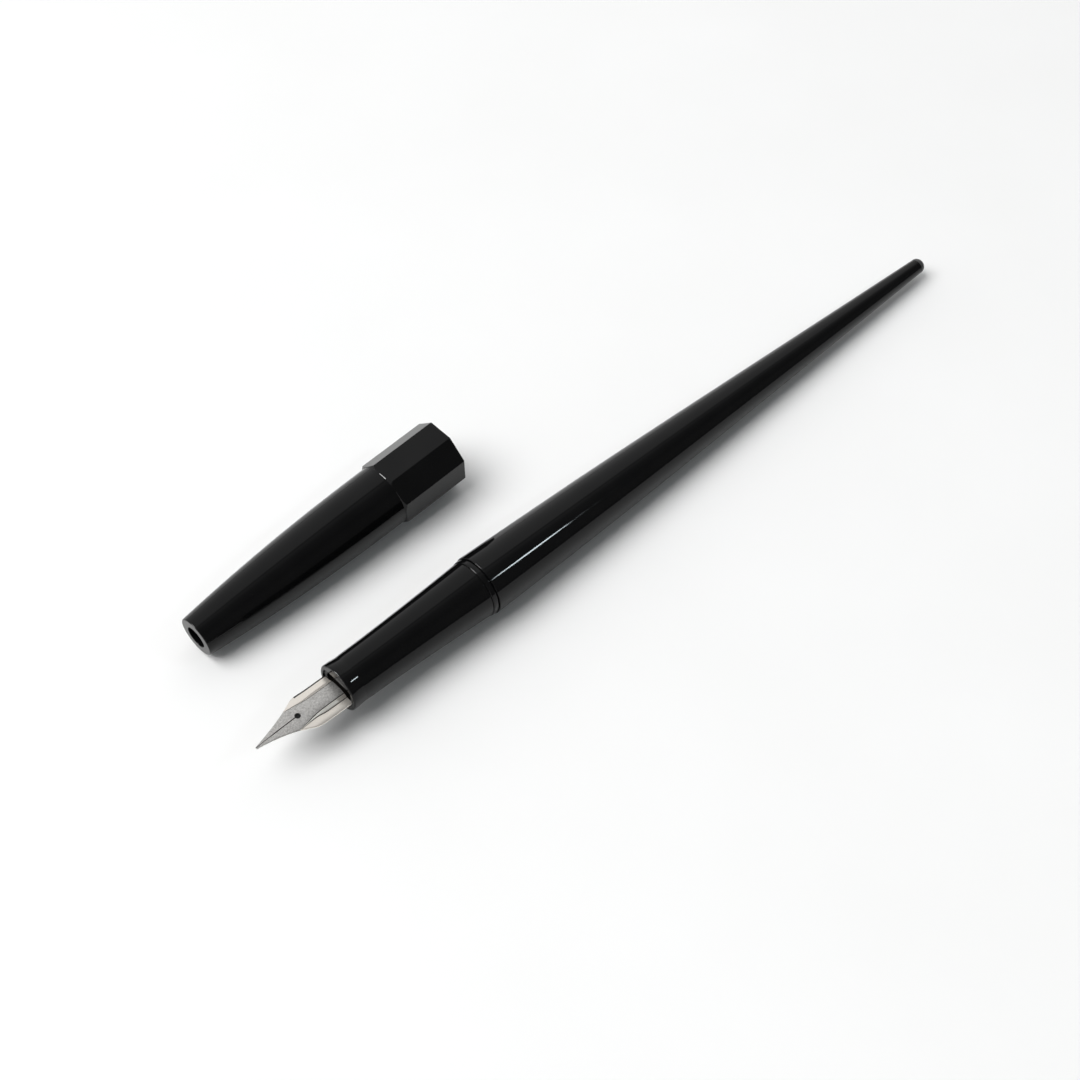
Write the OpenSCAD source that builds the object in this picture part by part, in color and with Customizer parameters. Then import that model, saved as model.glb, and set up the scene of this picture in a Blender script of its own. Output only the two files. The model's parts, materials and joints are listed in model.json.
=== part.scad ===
// Desk fountain pen with a long tapering tail, lying uncapped beside its snap cap.
// Units are millimetres. +Z is up and the table is z = 0.
// The pen has its own straight frame: x runs from the nib tip (0) to the tail end, along the
// pen's axis. The cap has one too: x runs from its narrow end (0) to its mouth.

/* [Pen] */
// Length from nib tip to tail end
pen_length = 177.5; // [176:0.5:182]
// Distance from the nib tip to the front face of the grip
nib_exposed = 17.9; // [17.7:0.05:18.1]
// Distance from the nib tip to the front end of the barrel
barrel_start = 51; // [50.8:0.1:51.2]
// Radius of the barrel at its front end, its widest place
barrel_front_r = 6.05; // [5.9:0.05:6.3]
// How much the barrel's radius falls per millimetre at its front end
barrel_front_slope = 0.02; // [0.015:0.001:0.022]
// How much the barrel's radius falls per millimetre along its rear half
barrel_rear_slope = 0.0405; // [0.04:0.0005:0.041]

/* [Grip] */
// Largest radius of the rolled lip at the front of the grip
lip_r = 4.76; // [4.7:0.02:4.8]
// Radius of the grip where its long flare begins
grip_front_r = 4.55; // [4.5:0.01:4.6]
// Radius of the snap ring between grip and barrel
snap_ring_r = 5.83; // [5.75:0.01:5.85]

/* [Nib] */
// Full width of the nib at its shoulders
nib_width = 7.7; // [7.4:0.1:7.8]
// Distance from the tip to the shoulders
nib_shoulder = 10; // [9:0.1:11]
// Thickness of the sheet steel
nib_sheet = 0.25; // [0.2:0.01:0.3]
// Diameter of the breather hole
breather_d = 1.1; // [0.9:0.05:1.3]

/* [Cap] */
// Length of the cap
cap_length = 60; // [60:0.1:61]
// Radius of the cap's narrow end
cap_end_r = 4.03; // [4:0.01:4.2]
// Radius of the round body where the octagon begins
cap_body_r = 6.22; // [6.15:0.01:6.25]
// Distance across the flats of the octagonal mouth end
octagon_flats = 12.7; // [12.6:0.05:13]
// Length of the octagonal part
octagon_length = 15.1; // [15:0.1:15.4]

/* [Layout] */
// Distance of the cap's axis from the pen's axis, at the cap's narrow end
cap_side = 26.5; // [22:0.1:40]
// Distance of the cap's narrow end behind the nib tip
cap_back = 6.9; // [0:0.1:20]
// Angle between the cap and the pen, seen from above
cap_yaw = 1; // [0:0.1:3]

/* [Hidden] */
$fn = 96;

gloss_black = [0.05, 0.05, 0.055];
matt_black = [0.09, 0.09, 0.09];
steel = [0.72, 0.71, 0.69];
ink_plastic = [0.16, 0.18, 0.26];

// Gaps: face_gap parts two pieces end to end, run_gap is the radial room of a running fit
face_gap = 0.05;
run_gap = 0.05;
through = 1;

// Grip, along the pen's axis
lip_round = 0.46;
lip_back = nib_exposed + 1.1;
neck_x = nib_exposed + 2;
grip_body_x = nib_exposed + 1.5;
ring_width = 1.2;
grip_shoulder = barrel_start - ring_width - 2 * face_gap;
journal_r = 5;
spigot_r = 4.85;
spigot_length = 8;
spigot_end = barrel_start + spigot_length;
mouth_r = 4;
mouth_top = 2.4;
collar_start = nib_exposed + 0.35;
collar_r = 3.95;
collar_bore_r = 3.25;
collar_end = nib_exposed + 14.3;
nipple_flange_r = 2.2;
nipple_flange = 2;
nipple_r = 1.45;
nipple_bore_r = 0.6;
nipple_web_end = collar_end + 6;
cavity_r = 4;

// Ink cartridge
cartridge_start = 39.5;
cartridge_length = 55;
cartridge_end = cartridge_start + cartridge_length;
cartridge_r = 3.85;
cartridge_bore_r = 3.2;
cartridge_mouth = 1.5;
cartridge_floor = 1;
cartridge_pull = 5;
nipple_end = cartridge_start + cartridge_pull;
ball_r = 1.75;
ball_gap = 0.03;

// Nib cross-section: a crowned plate, a steep band from crease to fold, and a wing on each side
nib_half = nib_width / 2;
crown_z = 0.55;
crease_y = 1.65;
crease_z = 0.35;
fold_y = 2.4;
fold_z = -0.15;
wing_z = -0.35;
shank_half = 3;
shank_start = nib_exposed + 0.05;
shank_step = 0.2;
nib_end = 27;
slit_width = 0.12;
breather_x = 9.1;

// Feed
feed_start = 3.6;
feed_end = collar_end - 0.3;
feed_r = collar_bore_r - run_gap;
feed_core_r = 2;
feed_prow_r = 2.8;
fin_pitch = 1;
fin_gap = 0.4;
fin_count = 11;
channel_width = 0.5;
channel_floor = -0.4;
feed_top = mouth_top - 0.2;
tail_rod_r = nipple_bore_r - run_gap;
tail_rod_end = collar_end + 5;

// Barrel
barrel_end = pen_length - 1.6;
barrel_blend = 62;
barrel_edge = 0.15;
thread_bore_r = spigot_r + run_gap;
thread_bore_end = spigot_end + 1;
barrel_bore_r = 4.05;
barrel_bore_end = cartridge_end + cartridge_pull + 0.7;
barrel_wall = 1.1;
plug_bore_r = 0.9;
plug_bore_start = pen_length - 9.5;
plug_stem_start = pen_length - 7.5;
barrel_front_steps = 3;
barrel_rear_steps = 20;

// Cap
octagon_start = cap_length - octagon_length;
octagon_apothem = octagon_flats / 2;
octagon_corner_r = octagon_apothem / cos(22.5);
cap_power = 2.1;
cap_end_steps = 10;
cap_body_steps = 8;
end_round = 0.25;
end_hole_r = 2.2;
end_hole_depth = 5;
ring_seat_r = snap_ring_r + 0.07;
ring_seat_depth = ring_width + face_gap;
rib_thick = 0.6;
rib_back = 2.2;
rib_y = -0.7;
seal_x = cap_length - barrel_start + nib_exposed;
liner_end = cap_length - 27;
// Bores of the cap shell, from the narrow end: [where the step starts, radius]
shell_steps = [
    [end_hole_depth, 3.9], [14, 4.55], [26, 5.35],
    [cap_length - 14, 5.72], [cap_length - ring_seat_depth, ring_seat_r]
];

// Radius of the barrel at a distance x from the nib tip: the slope grows smoothly over
// barrel_blend millimetres and stays the same from there
function blend_area(t) = pow(t, 3) - pow(t, 4) / 2;
function barrel_r(x) = let(d = x - barrel_start, t = min(1, d / barrel_blend))
    barrel_front_r - barrel_front_slope * d
    - (barrel_rear_slope - barrel_front_slope)
    * (barrel_blend * blend_area(t) + max(0, d - barrel_blend));

// Radius of the grip: a shallow neck behind the lip, then a gentle flare towards the snap ring
function grip_r(x) = let(d = x - neck_x)
    grip_front_r + 0.0235 * d + 0.0005 * d * d + 0.171 * exp(-(d + 0.5) / 2.88);

// Radius of the cap's round body
cap_rise = cap_body_r - cap_end_r;
function cap_r(x) = cap_body_r - cap_rise * pow(max(0, 1 - x / octagon_start), cap_power);

// Each piece lies on its belly, a short straight stretch below its centre of mass
pen_belly = 69.7;
pen_belly_half = 10;
pen_belly_front_r = barrel_r(pen_belly - pen_belly_half);
pen_belly_rear_r = barrel_r(pen_belly + pen_belly_half);
pen_tilt = atan((pen_belly_front_r - pen_belly_rear_r) / (2 * pen_belly_half));
pen_lift = pen_belly * sin(pen_tilt) + (pen_belly_front_r + pen_belly_rear_r) / 2 * cos(pen_tilt);
cap_belly = 26.7;
cap_belly_half = 5;
cap_belly_front_r = cap_r(cap_belly - cap_belly_half);
cap_belly_rear_r = cap_r(cap_belly + cap_belly_half);
cap_tilt = atan((cap_belly_rear_r - cap_belly_front_r) / (2 * cap_belly_half));
cap_lift = (cap_belly_front_r + cap_belly_rear_r) / 2 * cos(cap_tilt) - cap_belly * sin(cap_tilt);

// The origin is on the table, below the middle of the box around pen and cap
cap_reach = cap_side + cap_length * cos(cap_tilt) * sin(cap_yaw) + octagon_apothem * cos(cap_yaw);
centre_x = pen_length * cos(pen_tilt) / 2;
centre_y = (cap_reach - barrel_front_r) / 2;

// Points of a quarter round from angle a to angle b
function arc(cx, cy, r, a, b, n = 6) = [for (i = [0:n]) let(t = a + (b - a) * i / n) [cx + r * cos(t), cy + r * sin(t)]];
function swap(points) = [for (p = points) [p[1], p[0]]];

// Stations from a to b in n equal steps
function stations(a, b, n) = [for (i = [0:n]) a + (b - a) * i / n];

module on_pen() {
    translate([-centre_x, -centre_y, pen_lift]) rotate([0, pen_tilt, 0]) children();
}

module on_cap() {
    translate([cap_back - centre_x, cap_side - centre_y, cap_lift])
        rotate([0, 0, cap_yaw])
            rotate([0, -cap_tilt, 0])
                children();
}

// A solid of revolution about x, from an outline of [x, radius] points
module turned(points) {
    rotate([0, 90, 0]) rotate_extrude() polygon(swap(points));
}

// A round bore or rod along x
module rod(x0, x1, r) {
    translate([x0, 0, 0]) rotate([0, 90, 0]) cylinder(h = x1 - x0, r = r);
}

// Upper side of the nib's cross-section, as points in y and z
function nib_top() = [
    [-nib_half, wing_z], [-fold_y, fold_z], [-crease_y, crease_z], [0, crown_z],
    [crease_y, crease_z], [fold_y, fold_z], [nib_half, wing_z]
];
function reversed(points) = [for (i = [len(points) - 1:-1:0]) points[i]];
function lowered(points, d) = [for (p = points) [p[0], p[1] - d]];

// Extrudes an outline given in y and z along x
module along_x(x0, x1) {
    translate([x0, 0, 0]) rotate([90, 0, 90]) linear_extrude(height = x1 - x0) children();
}

module nib() {
    tip_half = 0.15;
    shoulder_round = 0.8;
    half_plan = [
        [0, tip_half], [nib_shoulder * 0.45, nib_half * 0.42], [nib_shoulder - shoulder_round, nib_half - 0.3],
        [nib_shoulder + shoulder_round, nib_half], [shank_start, nib_half],
        [shank_start + shank_step, shank_half], [nib_end, shank_half]
    ];
    mirrored = [for (p = reversed(half_plan)) [p[0], -p[1]]];
    color(steel) on_pen() difference() {
        intersection() {
            along_x(0, nib_end) polygon(concat(nib_top(), lowered(reversed(nib_top()), nib_sheet)));
            translate([0, 0, -through]) linear_extrude(height = 3) polygon(concat(half_plan, mirrored));
        }
        translate([breather_x, 0, -through]) cylinder(h = 3, d = breather_d);
        translate([-through, -slit_width / 2, -through]) cube([breather_x + through, slit_width, 3]);
    }
}

module feed() {
    prow = [
        [feed_start, 0], [feed_start, 0.5], [8, 1.7], [12, 2.5], [15, feed_prow_r],
        [nib_exposed + 0.4, feed_prow_r], [nib_exposed + 0.4, feed_r], [feed_end, feed_r],
        [feed_end, tail_rod_r], [tail_rod_end, tail_rod_r], [tail_rod_end, 0]
    ];
    first_fin = collar_start + 0.6;
    color(matt_black) on_pen() difference() {
        turned(prow);
        // room for the nib, which lies on the feed
        along_x(0, nib_end + 0.3) polygon(concat(
            lowered(nib_top(), nib_sheet), [[nib_half, 5], [-nib_half, 5]]
        ));
        // flat top behind the nib, so that it passes the grip's mouth
        translate([nib_end, -feed_r, feed_top]) cube([feed_end - nib_end, 2 * feed_r, feed_r]);
        // comb of fins round the core
        for (i = [0:fin_count - 1]) difference() {
            rod(first_fin + i * fin_pitch, first_fin + i * fin_pitch + fin_gap, feed_r + through);
            rod(first_fin, first_fin + fin_count * fin_pitch, feed_core_r);
        }
        // ink channel along the top
        translate([feed_start - through, -channel_width / 2, channel_floor])
            cube([feed_end - feed_start + through - 2, channel_width, 5]);
    }
}

module nib_collar() {
    color(matt_black) on_pen() difference() {
        rod(collar_start, collar_end, collar_r);
        rod(collar_start - through, collar_end + through, collar_bore_r);
    }
}

module grip_section() {
    body = [for (x = stations(grip_body_x, grip_shoulder, 12)) [x, grip_r(x)]];
    lip = swap(arc(lip_r - lip_round, nib_exposed + lip_round, lip_round, -90, 0));
    outline = concat(
        [[nib_exposed, 0]], lip, [[lip_back, lip_r]], body,
        [
            [grip_shoulder, journal_r], [barrel_start, journal_r], [barrel_start, spigot_r],
            [spigot_end - 0.4, spigot_r], [spigot_end, spigot_r - 0.4], [spigot_end, 0]
        ]
    );
    color(gloss_black) on_pen() difference() {
        turned(outline);
        // mouth for nib and feed, flat on top
        intersection() {
            rod(nib_exposed - through, collar_start, mouth_r);
            translate([nib_exposed - through, -5, -5]) cube([4, 10, 5 + mouth_top]);
        }
        rod(collar_start, collar_end, collar_r);
        rod(collar_end - through, collar_end + nipple_flange, nipple_flange_r);
        rod(collar_end, nipple_web_end + through, nipple_r);
        rod(nipple_web_end, spigot_end + through, cavity_r);
    }
}

module cartridge_nipple() {
    color(matt_black) on_pen() difference() {
        turned([
            [collar_end, 0], [collar_end, nipple_flange_r], [collar_end + nipple_flange, nipple_flange_r],
            [collar_end + nipple_flange, nipple_r], [nipple_end - 0.8, nipple_r],
            [nipple_end, nipple_r - 0.4], [nipple_end, 0]
        ]);
        rod(collar_end - through, nipple_end + through, nipple_bore_r);
    }
}

module snap_ring() {
    x0 = grip_shoulder + face_gap;
    x1 = x0 + ring_width;
    bevel = 0.2;
    color(gloss_black) on_pen() turned([
        [x0, journal_r + run_gap], [x0, snap_ring_r - bevel], [x0 + bevel, snap_ring_r],
        [x1 - bevel, snap_ring_r], [x1, snap_ring_r - bevel], [x1, journal_r + run_gap]
    ]);
}

module ink_cartridge() {
    front_round = 0.6;
    mouth_bore_r = nipple_r + run_gap;
    color(ink_plastic) on_pen() turned(concat(
        [[cartridge_start, mouth_bore_r]],
        swap(arc(cartridge_r - front_round, cartridge_start + front_round, front_round, -90, 0)),
        swap(arc(cartridge_r - front_round, cartridge_end - front_round, front_round, 0, 90)),
        [
            [cartridge_end, 0], [cartridge_end - cartridge_floor, 0],
            [cartridge_end - cartridge_floor, cartridge_bore_r],
            [cartridge_start + cartridge_mouth, cartridge_bore_r],
            [cartridge_start + cartridge_mouth, mouth_bore_r]
        ]
    ));
}

module cartridge_ball() {
    color(steel) on_pen()
        translate([
            cartridge_end - cartridge_floor - ball_r - ball_gap, 0, ball_r + ball_gap - cartridge_bore_r
        ])
            sphere(r = ball_r);
}

module barrel() {
    outer_x0 = barrel_start + barrel_edge;
    outer_x = concat(
        stations(outer_x0, pen_belly - pen_belly_half, barrel_front_steps),
        stations(pen_belly + pen_belly_half, barrel_end, barrel_rear_steps)
    );
    outer = [for (x = outer_x) [x, barrel_r(x)]];
    cone_end = plug_bore_start;
    color(gloss_black) on_pen() turned(concat(
        [[barrel_start, thread_bore_r], [barrel_start, barrel_r(barrel_start) - barrel_edge]], outer,
        [
            [barrel_end, plug_bore_r], [cone_end, plug_bore_r],
            [barrel_start + barrel_blend, barrel_r(barrel_start + barrel_blend) - barrel_wall],
            [barrel_bore_end, barrel_r(barrel_bore_end) - barrel_wall], [barrel_bore_end, barrel_bore_r],
            [thread_bore_end, barrel_bore_r], [thread_bore_end, thread_bore_r]
        ]
    ));
}

module tail_plug() {
    head_x = barrel_end + face_gap;
    head_r = barrel_r(barrel_end);
    dome = pen_length - head_x - 0.1;
    color(matt_black) on_pen() turned(concat(
        [[plug_stem_start, 0], [plug_stem_start, plug_bore_r], [head_x, plug_bore_r], [head_x, head_r]],
        [for (a = [0:15:75]) [pen_length - dome + dome * sin(a), head_r * cos(a)]],
        [[pen_length, 0]]
    ));
}

module cap_shell() {
    body_x = concat(
        stations(end_round, cap_belly - cap_belly_half, cap_end_steps),
        stations(cap_belly + cap_belly_half, octagon_start, cap_body_steps)
    );
    round_body = [for (x = body_x) [x, cap_r(x)]];
    color(gloss_black) on_cap() difference() {
        union() {
            turned(concat(
                [[0, 0], [0, cap_end_r - end_round]], round_body,
                [[octagon_start + 2, cap_body_r], [octagon_start + 2, 0]]
            ));
            translate([octagon_start, 0, 0])
                rotate([0, 90, 0])
                    rotate([0, 0, 22.5])
                        cylinder(h = octagon_length, r = octagon_corner_r, $fn = 8);
        }
        rod(-through, end_hole_depth + through, end_hole_r);
        for (step = shell_steps) rod(step[0], cap_length + through, step[1]);
    }
}

module inner_cap() {
    back = end_hole_depth;
    color(matt_black) on_cap() difference() {
        union() {
            turned([
                [back, 0], [back, shell_steps[0][1]], [shell_steps[1][0], shell_steps[0][1]],
                [shell_steps[1][0], shell_steps[1][1]], [shell_steps[2][0], shell_steps[1][1]],
                [shell_steps[2][0], shell_steps[2][1]], [liner_end, shell_steps[2][1]], [liner_end, 0]
            ]);
            // rib that shows in the hole of the narrow end
            intersection() {
                rod(rib_back, back + 0.5, end_hole_r);
                translate([rib_back, rib_y - rib_thick / 2, -end_hole_r])
                    cube([back, rib_thick, 2 * end_hole_r]);
            }
        }
        rod(back + 2.5, liner_end + through, 3.3);
        rod(17, liner_end + through, 4.1);
        rod(seal_x, liner_end + through, lip_r + 0.09);
    }
}

nib();
feed();
nib_collar();
grip_section();
cartridge_nipple();
snap_ring();
ink_cartridge();
cartridge_ball();
barrel();
tail_plug();
cap_shell();
inner_cap();
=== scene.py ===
import json
import math

import bmesh
import bpy
import numpy as np
from mathutils import Matrix, Vector


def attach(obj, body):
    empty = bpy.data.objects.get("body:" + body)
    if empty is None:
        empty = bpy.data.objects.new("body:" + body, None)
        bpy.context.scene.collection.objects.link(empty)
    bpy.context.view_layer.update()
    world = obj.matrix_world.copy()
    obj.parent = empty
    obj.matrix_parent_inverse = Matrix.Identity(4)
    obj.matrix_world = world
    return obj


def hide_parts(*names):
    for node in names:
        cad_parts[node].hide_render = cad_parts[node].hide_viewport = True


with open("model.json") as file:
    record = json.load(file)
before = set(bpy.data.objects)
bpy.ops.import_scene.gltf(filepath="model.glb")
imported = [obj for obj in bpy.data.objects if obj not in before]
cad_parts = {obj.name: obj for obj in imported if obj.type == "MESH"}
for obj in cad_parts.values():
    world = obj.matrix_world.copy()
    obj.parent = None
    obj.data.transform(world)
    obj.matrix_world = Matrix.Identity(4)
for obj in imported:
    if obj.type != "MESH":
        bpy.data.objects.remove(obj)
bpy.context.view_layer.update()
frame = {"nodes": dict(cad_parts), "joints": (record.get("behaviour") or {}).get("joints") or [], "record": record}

# A desk fountain pen beside its snap cap. Each piece is drawn in millimetres in the pen's or the
# cap's own straight frame: x along the axis from the nib tip or from the cap's narrow end, z up.
MM = 0.001

# ---------------------------------------------------------------- places, from the frame

JOINTS = {joint["name"]: joint for joint in frame["joints"]}
MOUNTS = {mount["name"]: mount for mount in frame["record"]["mounts"]}

BARREL_START = 51.0
FACET_MIDDLE = 52.4
CAP_APOTHEM = 6.35


def axes_along(direction):
    """Rotation whose x axis points along a nearly level direction, with y level and z up."""
    x = Vector(direction).normalized()
    y = Vector((0, 0, 1)).cross(x).normalized()
    z = x.cross(y)
    return Matrix((x, y, z)).transposed()


def place(rotation, anchor, anchor_local):
    """Matrix from a piece's own millimetres to the frame's metres."""
    scaled = rotation * MM
    origin = Vector(anchor) - scaled @ Vector(anchor_local)
    return Matrix.Translation(origin) @ scaled.to_4x4()


pen_axes = axes_along(JOINTS["barrel_unscrew"]["axis"])
cap_axes = axes_along(JOINTS["cap_push_on"]["axis"])
PEN = place(pen_axes, JOINTS["barrel_unscrew"]["pos_m"], (BARREL_START, 0, 0))
CAP = place(cap_axes, MOUNTS["cap_facet"]["pos_m"], (FACET_MIDDLE, 0, -CAP_APOTHEM))

# ---------------------------------------------------------------- mesh helpers

SUPPORT = 0.03


def turning(n):
    """n equal angles round the axis."""
    return np.arange(n) * (2 * math.pi / n)


def rounded(corners, closed=True, steps=5):
    """Outline of (x, r) points from corners (x, r, fillet radius). A close pair of points on each
    side of a fillet keeps the shading of the flats clean."""
    points = []
    count = len(corners)
    for i, (x, r, fillet) in enumerate(corners):
        at_end = not closed and i in (0, count - 1)
        if fillet <= 0 or at_end:
            points.append((x, r))
            continue
        here = np.array((x, r))
        before = np.array(corners[i - 1][:2]) - here
        after = np.array(corners[(i + 1) % count][:2]) - here
        room = min(np.linalg.norm(before), np.linalg.norm(after)) * 0.48
        before /= np.linalg.norm(before)
        after /= np.linalg.norm(after)
        half = math.acos(max(-1, min(1, float(before @ after)))) / 2
        if half > math.radians(89):
            points.append((x, r))
            continue
        reach = min(fillet / math.tan(half), room)
        fillet = reach * math.tan(half)
        middle = (before + after) / np.linalg.norm(before + after)
        centre = here + middle * fillet / math.sin(half)
        start = here + before * reach
        finish = here + after * reach
        extra = min(SUPPORT, room * 0.04)
        points.append(tuple(start + before * extra))
        a = start - centre
        b = finish - centre
        sweep = math.pi - 2 * half
        for k in range(steps + 1):
            t = k / steps
            mix = (math.sin((1 - t) * sweep) * a + math.sin(t * sweep) * b) / math.sin(sweep)
            points.append(tuple(centre + mix))
        points.append(tuple(finish + after * extra))
    return points


def finished(name, verts, faces, matrix, body, slot, replaced, sharp_deg=35):
    """Makes the mesh object from points in millimetres, shades it and gives it to the frame."""
    verts = np.asarray(verts, dtype=float)
    mesh = bpy.data.meshes.new(name)
    mesh.from_pydata(verts.tolist(), [], faces)
    own = mesh.attributes.new("own_mm", "FLOAT_VECTOR", "POINT")
    own.data.foreach_set("vector", verts.astype(np.float32).ravel())
    mesh.transform(matrix)
    work = bmesh.new()
    work.from_mesh(mesh)
    bmesh.ops.recalc_face_normals(work, faces=work.faces)
    work.to_mesh(mesh)
    work.free()
    mesh.shade_smooth()
    mesh.set_sharp_from_angle(angle=math.radians(sharp_deg))
    mesh.validate()
    made = bpy.data.objects.new(name, mesh)
    bpy.context.scene.collection.objects.link(made)
    made.data.materials.append(MATERIALS[slot])
    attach(made, body)
    if replaced:
        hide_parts(replaced)
    return made


def ring_stack(rings, angles, closed):
    """Points and faces of a skin through rings of (x, r), where x and r may vary with the angle.
    A closed stack joins its last ring to its first. An open one ends in a point on the axis."""
    n = len(angles)
    cos, sin = np.cos(angles), np.sin(angles)
    blank = np.zeros(n)
    points = [np.stack((x + blank, r * cos, r * sin), axis=1) for x, r in rings]
    verts = np.concatenate(points)
    faces = []
    pairs = [(i, i + 1) for i in range(len(rings) - 1)]
    if closed:
        pairs.append((len(rings) - 1, 0))
    for a, b in pairs:
        for k in range(n):
            m = (k + 1) % n
            faces.append((a * n + k, a * n + m, b * n + m, b * n + k))
    if not closed:
        for ring in (0, len(rings) - 1):
            pole = len(verts)
            verts = np.concatenate((verts, [verts[ring * n:(ring + 1) * n].mean(axis=0)]))
            for k in range(n):
                faces.append((ring * n + k, ring * n + (k + 1) % n, pole))
    return verts, faces


def turned(name, rings, matrix, body, slot, replaced, angles=None, closed=True):
    """A turned piece that stands for a CAD node."""
    angles = turning(160) if angles is None else angles
    verts, faces = ring_stack(rings, angles, closed)
    return finished(name, verts, faces, matrix, body, slot, replaced)


def stations(a, b, n):
    """n + 1 places from a to b in equal steps."""
    return [a + (b - a) * i / n for i in range(n + 1)]


# ---------------------------------------------------------------- materials


class Nodes:
    """Short names for building one material's node tree."""

    def __init__(self, name):
        self.material = bpy.data.materials.new(name)
        self.material.use_nodes = True
        self.tree = self.material.node_tree
        self.shader = self.tree.nodes["Principled BSDF"]

    def add(self, kind, **values):
        node = self.tree.nodes.new(kind)
        for key, value in values.items():
            setattr(node, key, value)
        return node

    def link(self, a, b):
        self.tree.links.new(a, b)

    def own_coordinates(self, stretch=(1, 1, 1)):
        """The piece's own millimetres, stretched for grain."""
        source = self.add("ShaderNodeAttribute", attribute_name="own_mm")
        mapping = self.add("ShaderNodeMapping")
        mapping.inputs["Scale"].default_value = stretch
        self.link(source.outputs["Vector"], mapping.inputs["Vector"])
        return mapping.outputs["Vector"]

    def cad_coordinates(self):
        """The frame's millimetres, for CAD nodes, which have no coordinates of their own."""
        source = self.add("ShaderNodeTexCoord")
        mapping = self.add("ShaderNodeMapping")
        mapping.inputs["Scale"].default_value = (1 / MM, 1 / MM, 1 / MM)
        self.link(source.outputs["Object"], mapping.inputs["Vector"])
        return mapping.outputs["Vector"]

    def noise(self, vector, scale, detail=3.0, roughness=0.5):
        node = self.add("ShaderNodeTexNoise")
        node.inputs["Scale"].default_value = scale
        node.inputs["Detail"].default_value = detail
        node.inputs["Roughness"].default_value = roughness
        self.link(vector, node.inputs["Vector"])
        return node.outputs["Fac"]

    def spread(self, value, low, high, start=0.3, stop=0.7):
        """Maps a noise onto the range from low to high."""
        node = self.add("ShaderNodeMapRange")
        node.inputs["From Min"].default_value = start
        node.inputs["From Max"].default_value = stop
        node.inputs["To Min"].default_value = low
        node.inputs["To Max"].default_value = high
        self.link(value, node.inputs["Value"])
        return node.outputs["Result"]

    def mix(self, value, low, high):
        """A colour between low and high by the value. Each is a colour or a node's output."""
        node = self.add("ShaderNodeMix", data_type="RGBA")
        sockets = {s.name: s for s in node.inputs if s.type == "RGBA"}
        for socket, colour in ((sockets["A"], low), (sockets["B"], high)):
            if isinstance(colour, tuple):
                socket.default_value = (*colour, 1)
            else:
                self.link(colour, socket)
        self.link(value, node.inputs["Factor"])
        return next(s for s in node.outputs if s.type == "RGBA")

    def tint(self, value, low, high):
        """Colours the material between two colours by a noise."""
        self.link(self.mix(value, low, high), self.shader.inputs["Base Color"])

    def bump(self, value, strength, distance, under=None):
        node = self.add("ShaderNodeBump")
        node.inputs["Strength"].default_value = strength
        node.inputs["Distance"].default_value = distance
        self.link(value, node.inputs["Height"])
        if under:
            self.link(under, node.inputs["Normal"])
        self.link(node.outputs["Normal"], self.shader.inputs["Normal"])
        return node.outputs["Normal"]

    def set(self, **values):
        for key, value in values.items():
            self.shader.inputs[key.replace("_", " ")].default_value = value


def gloss_black():
    """Polished injection-moulded plastic: faint flow marks, fine handling scratches."""
    m = Nodes("gloss_black")
    grain = m.own_coordinates()
    cloud = m.noise(grain, 0.16, 4)
    m.tint(m.spread(cloud, 0, 1), (0.0024, 0.0025, 0.0027), (0.0036, 0.0037, 0.0039))
    scratches = m.noise(m.own_coordinates((0.35, 6, 6)), 1.6, 4, 0.65)
    m.link(m.spread(scratches, 0.045, 0.10, 0.45, 0.8), m.shader.inputs["Roughness"])
    waves = m.bump(m.noise(grain, 0.35, 2), 0.25, 0.00002)
    m.bump(m.noise(grain, 9, 3), 0.03, 0.00001, waves)
    m.set(IOR=1.5, Specular_IOR_Level=0.21)
    return m.material


def matt_black():
    """Plain moulded plastic with a fine spark-eroded texture."""
    m = Nodes("matt_black")
    grain = m.own_coordinates()
    m.tint(m.spread(m.noise(grain, 0.5, 3), 0, 1), (0.004, 0.004, 0.004), (0.009, 0.009, 0.009))
    m.link(m.spread(m.noise(grain, 3, 4), 0.35, 0.5), m.shader.inputs["Roughness"])
    m.bump(m.noise(grain, 14, 3), 0.25, 0.00002)
    m.set(IOR=1.5, Specular_IOR_Level=0.25)
    return m.material


def nib_steel():
    """Stamped stainless sheet, brushed along its length, wings painted lighter and warmer as painted reflection,
    painted near black as painted shade in the creases and the slit, along one edge and where it enters the grip."""
    m = Nodes("nib_steel")
    grain = m.own_coordinates((0.8, 5, 2))
    plain = m.own_coordinates()
    streaks = m.noise(grain, 2.4, 6, 0.7)
    mottle = m.noise(plain, 3.2, 5, 0.7)
    wing = m.add("ShaderNodeAttribute", attribute_name="wing")
    ink = m.add("ShaderNodeAttribute", attribute_name="ink")
    plate = m.mix(m.spread(mottle, 0, 1), (0.31, 0.30, 0.29), (0.68, 0.67, 0.65))
    # Painted reflection: the wings beyond the inner crease are painted lighter and warmer than the plate.
    wings = m.mix(m.spread(wing.outputs["Fac"], 0, 1), plate, (0.88, 0.83, 0.76))
    # Painted shade: near black in the crease grooves, along the slit, along the far edge and inside the grip's
    # mouth.
    inked = m.mix(m.spread(ink.outputs["Fac"], 0, 1), wings, (0.02, 0.018, 0.016))
    m.link(inked, m.shader.inputs["Base Color"])
    m.link(m.spread(streaks, 0.26, 0.40), m.shader.inputs["Roughness"])
    m.bump(streaks, 0.12, 0.00002)
    m.set(Metallic=0.8)
    return m.material


def ball_steel():
    """Polished bearing steel with a few specks."""
    m = Nodes("ball_steel")
    grain = m.cad_coordinates()
    m.tint(m.spread(m.noise(grain, 1.2, 3), 0, 1), (0.60, 0.60, 0.61), (0.72, 0.72, 0.73))
    m.link(m.spread(m.noise(grain, 4, 4), 0.08, 0.18), m.shader.inputs["Roughness"])
    m.bump(m.noise(grain, 10, 2), 0.05, 0.00001)
    m.set(Metallic=1.0)
    return m.material


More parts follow.
